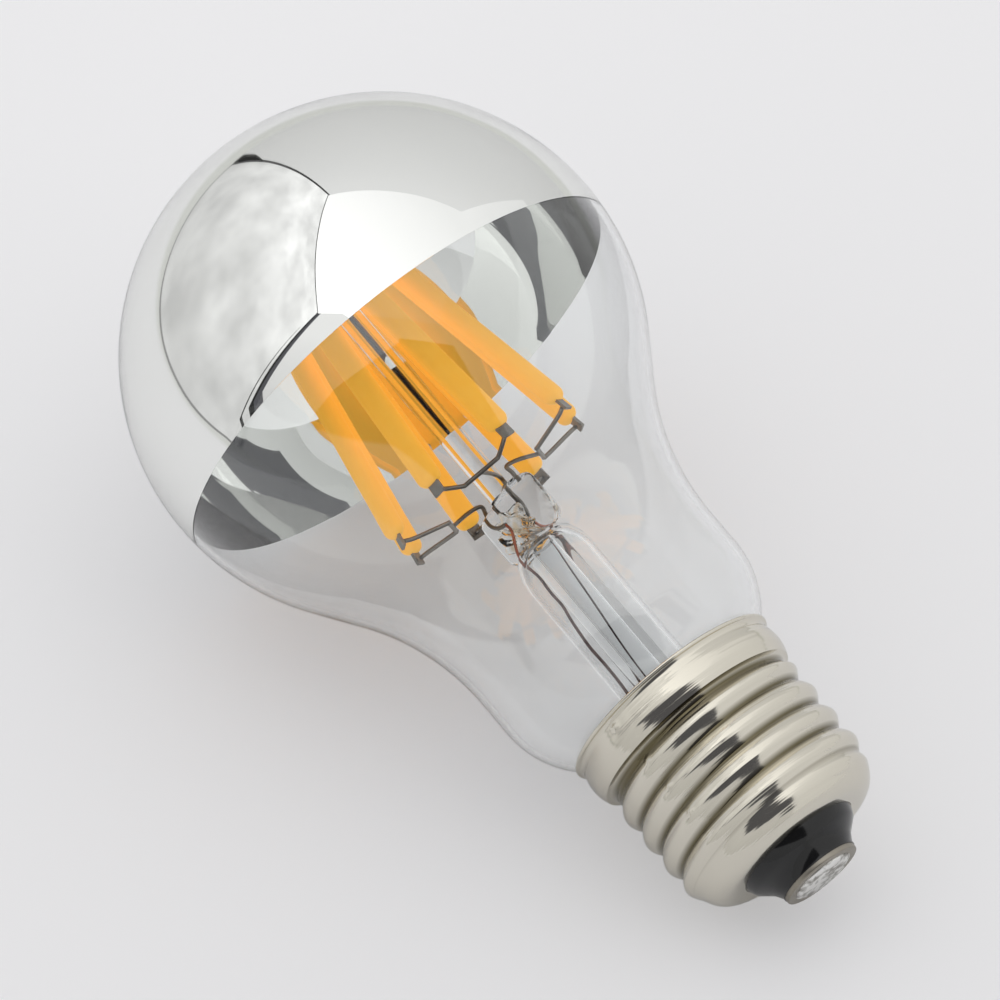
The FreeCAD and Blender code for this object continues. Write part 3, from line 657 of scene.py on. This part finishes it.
# Cloth whose glow runs from low to high along an axis, with soft folds of the given depth.
def cloth(name, low, high, start=0.0, end=1.0, axis="Z", fold=0.0):
    made, tree = material(name)
    place_in = add(tree, "ShaderNodeTexCoord")
    split = add(tree, "ShaderNodeSeparateXYZ", {}, {"Vector": place_in.outputs["Object"]})
    strength = between(tree, split.outputs[axis], start, end, low, high)
    if fold:
        wavy = between(tree, noise(tree, 14.0, 2.0), 0.3, 0.7, 1 - fold, 1 + fold)
        folded = add(tree, "ShaderNodeMath", {"operation": "MULTIPLY"}, {0: strength, 1: wavy})
        strength = folded.outputs["Value"]
    glow = add(tree, "ShaderNodeEmission", {"Color": (1, 1, 1, 1)}, {"Strength": strength})
    add(tree, "ShaderNodeOutputMaterial", {}, {"Surface": glow.outputs["Emission"]})
    return made


# The tent stands turned to the lamp: its front faces the camera.
front_turn = 136
front_way, left_way = [
    Vector((math.sin(math.radians(turn)), math.cos(math.radians(turn)), 0))
    for turn in (front_turn, front_turn + 90)
]


# A flat cloth through corners given as front, left and height.
def panel(name, corners, made):
    shape = bmesh.new()
    points = [front_way * f + left_way * s + Vector((0, 0, h)) for f, s, h in corners]
    bmesh.ops.contextual_create(shape, geom=[shape.verts.new(p) for p in points])
    mesh = bpy.data.meshes.new(name)
    shape.to_mesh(mesh)
    shape.free()
    mesh.materials.append(made)
    wall = bpy.data.objects.new(name, mesh)
    bpy.context.scene.collection.objects.link(wall)
    wall.visible_camera = False


# The corners of an upright wall between two places on the floor.
def standing(start, end, height):
    return [(*start, 0), (*end, 0), (*end, height), (*start, height)]


front, back, left, right, top = 0.16, -0.30, 0.22, -0.20, 0.444
slack, behind = 0.006, 0.001
seam_left, seam_right = left + behind, right - behind
hem_left = left - behind
wall_cloth = cloth("left wall cloth", 0.68, 0.98, 0.0, 0.3, "Z", 0.16)
back_cloth = cloth("back sweep cloth", 0.64, 0.80, 0.0, 0.4)
right_cloth = cloth("right wall cloth", 0.75, 0.95, 0.0, 0.4)
top_cloth = cloth("ceiling cloth", 1.3, 0.95, -0.2, 0.3, "Y")
front_cloth = cloth("front flap cloth", 0.6, 0.9, 0.0, 0.3)
seam = cloth("dark seam", 0.03, 0.03)
hem = cloth("grey hem", 0.30, 0.30)

# Walls and ceiling; the dark panels behind them show through the gaps as seams.
panel("left_wall", standing((front - slack, left), (back, left), top - slack), wall_cloth)
panel("left_wall_seam", standing((front, seam_left), (back - 0.01, seam_left), top), seam)
panel("back_wall", standing((back, left - slack), (back, right), top), back_cloth)
panel("right_wall", standing((front, right), (back - 0.005, right), top), right_cloth)
panel("right_wall_seam", standing((front, seam_right), (back - 0.01, seam_right), top), seam)
ceiling = [(front, left, top), (back, left, top), (back, right, top), (front, right, top)]
panel("ceiling", ceiling, top_cloth)

# Three flaps round the opening that the camera looks through.
flap_left = left - 0.01
flap_low = [
    (front, flap_left, 0),
    (front, right, 0),
    (front, right, 0.06),
    (front, flap_left, 0.10),
]
flap_side = [
    (front, flap_left, 0.08),
    (front, 0.10, 0.09),
    (front, 0.07, 0.16),
    (front, -0.04, 0.30),
    (front, -0.06, top),
    (front, flap_left, top),
]
flap_top = [(front, -0.04, 0.32), (front, right, 0.32), (front, right, top), (front, -0.05, top)]
panel("front_flap_low", flap_low, front_cloth)
panel("front_flap_side", flap_side, front_cloth)
panel("front_flap_top", flap_top, front_cloth)

# Hems and gaps of the tent, as dark lines: along the floor, and where two cloths meet.
panel("left_hem", standing((front - 0.02, hem_left), (back, hem_left), 0.004), hem)
corner_gap = [
    (back + behind, left, 0),
    (back + behind, left - 0.024, 0),
    (back + behind, left - 0.02, 0.04),
    (back + behind, left - 0.006, 0.085),
]
panel("corner_gap", corner_gap, seam)
front_seam = [
    (front - 0.014, hem_left, 0),
    (front - 0.017, hem_left, 0),
    (front - 0.015, hem_left, 0.32),
    (front - 0.014, hem_left, 0.32),
]
panel("front_seam", front_seam, seam)

# WORLD
# The room outside the tent is dim; straight behind the floor it shows as pale card, in the
# floor's own far tone.
world = bpy.data.worlds.new("room")
bpy.context.scene.world = world
world.use_nodes = True
tree = world.node_tree
tree.nodes.clear()
light_path = add(tree, "ShaderNodeLightPath")
dim = add(tree, "ShaderNodeBackground", {"Color": (0.10, 0.10, 0.11, 1), "Strength": 1.0})
pale = add(tree, "ShaderNodeBackground", {"Color": colour("#E4E4E6"), "Strength": 1.0})
mixed = add(
    tree,
    "ShaderNodeMixShader",
    {},
    {
        "Fac": light_path.outputs["Is Camera Ray"],
        1: dim.outputs["Background"],
        2: pale.outputs["Background"],
    },
)
add(tree, "ShaderNodeOutputWorld", {}, {"Surface": mixed.outputs["Shader"]})

# CAMERA
# Long lens, looking down on the lamp from the front and the tip side. Its place and its
# direction were fitted to the threads and the outline of the ball in the photo.
camera_data = bpy.data.cameras.new("camera")
camera_data.sensor_width = 36.0
camera_data.lens = 284.26
camera_data.clip_start = 0.01
camera = bpy.data.objects.new("camera", camera_data)
bpy.context.scene.collection.objects.link(camera)
camera.location = (0.43504, -0.36518, 0.72451)
ahead = Vector((-0.4852, 0.4043, -0.7753)).normalized()
camera.rotation_euler = ahead.to_track_quat("-Z", "Y").to_euler()
bpy.context.scene.camera = camera
bpy.context.scene.view_settings.view_transform = "Standard"
